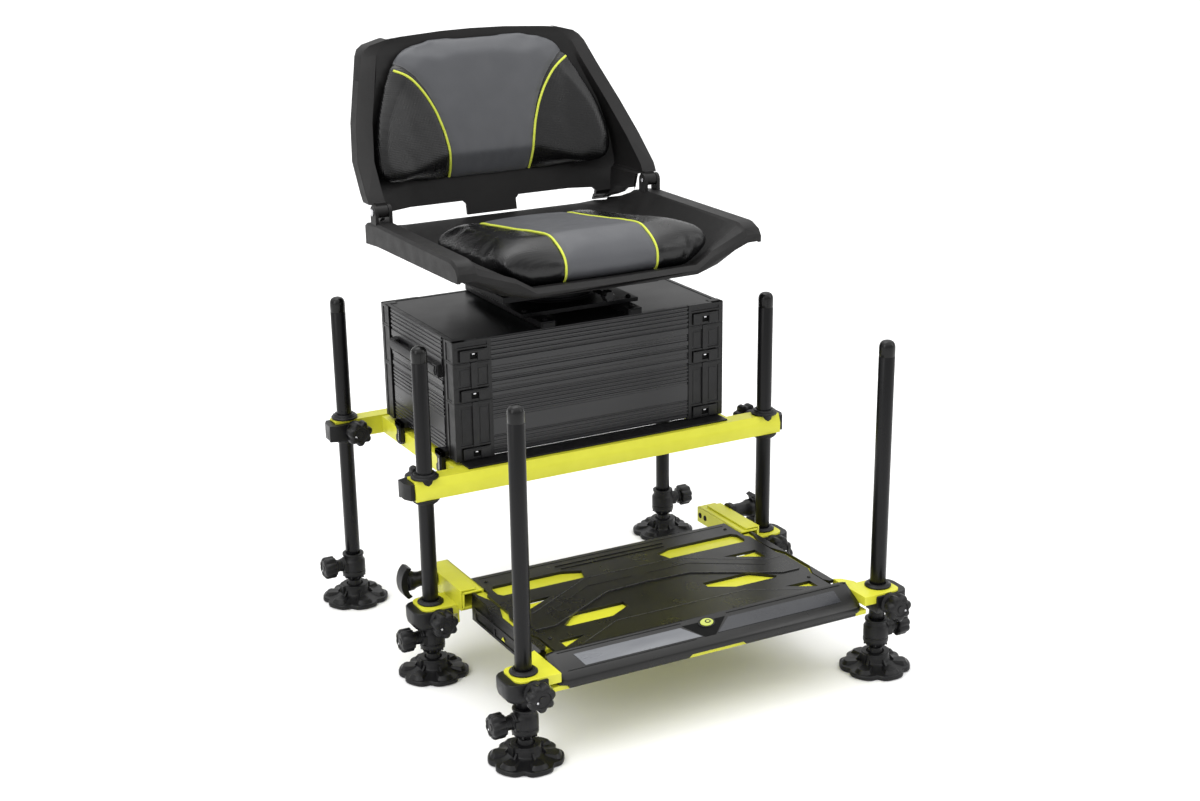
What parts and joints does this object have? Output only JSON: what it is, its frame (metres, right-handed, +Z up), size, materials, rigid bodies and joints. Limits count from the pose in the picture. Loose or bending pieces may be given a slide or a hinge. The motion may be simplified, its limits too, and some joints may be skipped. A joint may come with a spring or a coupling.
{
  "type": "fishing seat box",
  "caption": "Angler's seat box: a folding swivel seat on a stacked tackle box and tube frame, with adjustable legs and a sliding footplate.",
  "frame": {"origin": "on the ground under the middle of the part's bounding box", "axes": "+Z up, the sitter faces -Y, +X to the sitter's left"},
  "size_m": [0.7326, 0.8674, 0.945],
  "materials": {
    "lime_coat": "satin lime powder coat",
    "black_tube": "satin black anodised tube",
    "black_plastic": "black moulded plastic with a fine grain",
    "box_black": "black anodised ribbed panels with plastic corners",
    "shell_plastic": "satin black plastic with a fine grain",
    "vinyl": "grey and black vinyl with lime piping",
    "bright_steel": "polished pin head"
  },
  "bodies": {
    "frame": {"front_rail": "lime_coat", "rear_rail": "lime_coat", "side_rail_left": "lime_coat", "side_rail_right": "lime_coat", "rail_clamp_front_left": "black_plastic", "rail_clamp_front_right": "black_plastic", "rail_clamp_rear_left": "black_plastic", "rail_clamp_rear_right": "black_plastic", "front_support_strip": "black_plastic", "lower_tray": "box_black"},
    "leg_body_rear_left": {"leg_rear_left": "black_tube", "foot_knuckle_rear_left": "black_plastic"},
    "leg_body_rear_right": {"leg_rear_right": "black_tube", "foot_knuckle_rear_right": "black_plastic"},
    "leg_body_front_left": {"leg_front_left": "black_tube", "foot_knuckle_front_left": "black_plastic"},
    "leg_body_front_right": {"leg_front_right": "black_tube", "foot_knuckle_front_right": "black_plastic"},
    "leg_body_footplate_left": {"leg_footplate_left": "black_tube", "foot_knuckle_footplate_left": "black_plastic"},
    "leg_body_footplate_right": {"leg_footplate_right": "black_tube", "foot_knuckle_footplate_right": "black_plastic"},
    "pad_rear_left": {"mud_foot_rear_left": "black_plastic"},
    "pad_rear_right": {"mud_foot_rear_right": "black_plastic"},
    "pad_front_left": {"mud_foot_front_left": "black_plastic"},
    "pad_front_right": {"mud_foot_front_right": "black_plastic"},
    "pad_footplate_left": {"mud_foot_footplate_left": "black_plastic"},
    "pad_footplate_right": {"mud_foot_footplate_right": "black_plastic"},
    "knob_foot_rear_left": {"foot_knob_rear_left": "black_plastic"},
    "knob_foot_rear_right": {"foot_knob_rear_right": "black_plastic"},
    "knob_foot_front_left": {"foot_knob_front_left": "black_plastic"},
    "knob_foot_front_right": {"foot_knob_front_right": "black_plastic"},
    "knob_foot_footplate_left": {"foot_knob_footplate_left": "black_plastic"},
    "knob_foot_footplate_right": {"foot_knob_footplate_right": "black_plastic"},
    "knob_clamp_front_left": {"clamp_knob_front_left": "black_plastic"},
    "knob_clamp_front_right": {"clamp_knob_front_right": "black_plastic"},
    "knob_clamp_rear_left": {"clamp_knob_rear_left": "black_plastic"},
    "knob_clamp_rear_right": {"clamp_knob_rear_right": "black_plastic"},
    "carrier": {"bracket_left": "lime_coat", "bracket_right": "lime_coat"},
    "knob_bracket_left": {"bracket_knob_left": "black_plastic"},
    "knob_bracket_right": {"bracket_knob_right": "black_plastic"},
    "knob_wing_left": {"wing_knob_left": "black_plastic"},
    "knob_wing_right": {"wing_knob_right": "black_plastic"},
    "footplate": {"footplate_frame": "lime_coat", "footplate_deck": "black_plastic", "footplate_nose": "black_plastic"},
    "knob_footplate_left": {"footplate_knob_left": "black_plastic"},
    "knob_footplate_right": {"footplate_knob_right": "black_plastic"},
    "tray_upper": {"upper_tray": "box_black"},
    "lid_body": {"lid": "box_black", "swivel_base": "black_tube"},
    "knob_swivel": {"swivel_lock_knob": "black_plastic"},
    "seat": {"swivel_top": "black_plastic", "seat_shell": "shell_plastic", "seat_cushion": "vinyl", "fold_pin_left": "bright_steel", "fold_pin_right": "bright_steel"},
    "back": {"backrest_shell": "shell_plastic", "backrest_cushion": "vinyl"}
  },
  "joints": [
    {"name": "back_fold", "type": "hinge", "parent": "seat", "child": "back", "pos_m": [0, 0.23964, 0.689], "axis": [1, 0, 0], "range_deg": [0, 118]},
    {"name": "seat_swivel", "type": "hinge", "parent": "lid_body", "child": "seat", "pos_m": [0, 0.13264, 0.57], "axis": [0, 0, 1], "continuous": true},
    {"name": "lid_hinge", "type": "hinge", "parent": "tray_upper", "child": "lid_body", "pos_m": [0, 0.28364, 0.49485], "axis": [-1, 0, 0], "range_deg": [0, 90]},
    {"name": "upper_tray_lift", "type": "slide", "parent": "frame", "child": "tray_upper", "axis": [0, 0, 1], "range_m": [0, 0.06]},
    {"name": "footplate_slide", "type": "slide", "parent": "carrier", "child": "footplate", "axis": [0, -1, 0], "range_m": [0, 0.1]},
    {"name": "carrier_height", "type": "slide", "parent": "frame", "child": "carrier", "axis": [0, 0, 1], "range_m": [0, 0.1]},
    {"name": "leg_rear_left_slide", "type": "slide", "parent": "frame", "child": "leg_body_rear_left", "axis": [0, 0, 1], "range_m": [-0.15, 0.05]},
    {"name": "leg_rear_right_slide", "type": "slide", "parent": "frame", "child": "leg_body_rear_right", "axis": [0, 0, 1], "range_m": [-0.15, 0.05]},
    {"name": "leg_front_left_slide", "type": "slide", "parent": "frame", "child": "leg_body_front_left", "axis": [0, 0, 1], "range_m": [-0.15, 0]},
    {"name": "leg_front_right_slide", "type": "slide", "parent": "frame", "child": "leg_body_front_right", "axis": [0, 0, 1], "range_m": [-0.15, 0]},
    {"name": "leg_footplate_left_slide", "type": "slide", "parent": "footplate", "child": "leg_body_footplate_left", "axis": [0, 0, 1], "range_m": [-0.25, 0.012]},
    {"name": "leg_footplate_right_slide", "type": "slide", "parent": "footplate", "child": "leg_body_footplate_right", "axis": [0, 0, 1], "range_m": [-0.25, 0.012]},
    {"name": "pad_rear_left_tilt", "type": "hinge", "parent": "leg_body_rear_left", "child": "pad_rear_left", "pos_m": [-0.31, 0.30264, 0.025], "axis": [1, 0, 0], "range_deg": [-15, 15]},
    {"name": "pad_rear_right_tilt", "type": "hinge", "parent": "leg_body_rear_right", "child": "pad_rear_right", "pos_m": [0.31, 0.30264, 0.025], "axis": [1, 0, 0], "range_deg": [-15, 15]},
    {"name": "pad_front_left_tilt", "type": "hinge", "parent": "leg_body_front_left", "child": "pad_front_left", "pos_m": [-0.31, -0.03736, 0.025], "axis": [1, 0, 0], "range_deg": [-15, 15]},
    {"name": "pad_front_right_tilt", "type": "hinge", "parent": "leg_body_front_right", "child": "pad_front_right", "pos_m": [0.31, -0.03736, 0.025], "axis": [1, 0, 0], "range_deg": [-15, 15]},
    {"name": "pad_footplate_left_tilt", "type": "hinge", "parent": "leg_body_footplate_left", "child": "pad_footplate_left", "pos_m": [-0.31, -0.37036, 0.025], "axis": [1, 0, 0], "range_deg": [-15, 15]},
    {"name": "pad_footplate_right_tilt", "type": "hinge", "parent": "leg_body_footplate_right", "child": "pad_footplate_right", "pos_m": [0.31, -0.37036, 0.025], "axis": [1, 0, 0], "range_deg": [-15, 15]},
    {"name": "wing_knob_left_turn", "type": "hinge", "parent": "carrier", "child": "knob_wing_left", "pos_m": [-0.31, 0.02064, 0.14], "axis": [1, 0, 0], "continuous": true},
    {"name": "wing_knob_right_turn", "type": "hinge", "parent": "carrier", "child": "knob_wing_right", "pos_m": [0.31, 0.02064, 0.14], "axis": [1, 0, 0], "continuous": true},
    {"name": "clamp_knob_front_left_turn", "type": "hinge", "parent": "frame", "child": "knob_clamp_front_left", "pos_m": [-0.302, 0, 0.316], "axis": [0, 1, 0], "continuous": true},
    {"name": "foot_knob_rear_left_turn", "type": "hinge", "parent": "leg_body_rear_left", "child": "knob_foot_rear_left", "pos_m": [-0.34, 0.30264, 0.067], "axis": [1, 0, 0], "continuous": true},
    {"name": "foot_knob_rear_right_turn", "type": "hinge", "parent": "leg_body_rear_right", "child": "knob_foot_rear_right", "pos_m": [0.34, 0.30264, 0.067], "axis": [1, 0, 0], "continuous": true},
    {"name": "foot_knob_front_left_turn", "type": "hinge", "parent": "leg_body_front_left", "child": "knob_foot_front_left", "pos_m": [-0.34, -0.03736, 0.067], "axis": [1, 0, 0], "continuous": true},
    {"name": "foot_knob_front_right_turn", "type": "hinge", "parent": "leg_body_front_right", "child": "knob_foot_front_right", "pos_m": [0.34, -0.03736, 0.067], "axis": [1, 0, 0], "continuous": true},
    {"name": "foot_knob_footplate_left_turn", "type": "hinge", "parent": "leg_body_footplate_left", "child": "knob_foot_footplate_left", "pos_m": [-0.34, -0.37036, 0.067], "axis": [1, 0, 0], "continuous": true},
    {"name": "foot_knob_footplate_right_turn", "type": "hinge", "parent": "leg_body_footplate_right", "child": "knob_foot_footplate_right", "pos_m": [0.34, -0.37036, 0.067], "axis": [1, 0, 0], "continuous": true},
    {"name": "clamp_knob_front_right_turn", "type": "hinge", "parent": "frame", "child": "knob_clamp_front_right", "pos_m": [0.302, 0, 0.316], "axis": [0, 1, 0], "continuous": true},
    {"name": "clamp_knob_rear_left_turn", "type": "hinge", "parent": "frame", "child": "knob_clamp_rear_left", "pos_m": [-0.302, 0.26, 0.316], "axis": [0, 1, 0], "continuous": true},
    {"name": "clamp_knob_rear_right_turn", "type": "hinge", "parent": "frame", "child": "knob_clamp_rear_right", "pos_m": [0.302, 0.26, 0.316], "axis": [0, 1, 0], "continuous": true},
    {"name": "bracket_knob_left_turn", "type": "hinge", "parent": "carrier", "child": "knob_bracket_left", "pos_m": [-0.31, -0.09, 0.105], "axis": [0, 1, 0], "continuous": true},
    {"name": "bracket_knob_right_turn", "type": "hinge", "parent": "carrier", "child": "knob_bracket_right", "pos_m": [0.31, -0.09, 0.105], "axis": [0, 1, 0], "continuous": true},
    {"name": "footplate_knob_left_turn", "type": "hinge", "parent": "footplate", "child": "knob_footplate_left", "pos_m": [-0.31, -0.42, 0.124], "axis": [0, 1, 0], "continuous": true},
    {"name": "footplate_knob_right_turn", "type": "hinge", "parent": "footplate", "child": "knob_footplate_right", "pos_m": [0.31, -0.42, 0.124], "axis": [0, 1, 0], "continuous": true},
    {"name": "swivel_lock_turn", "type": "hinge", "parent": "lid_body", "child": "knob_swivel", "pos_m": [0.046, 0.03, 0.5583], "axis": [0, 1, 0], "continuous": true}
  ]
}
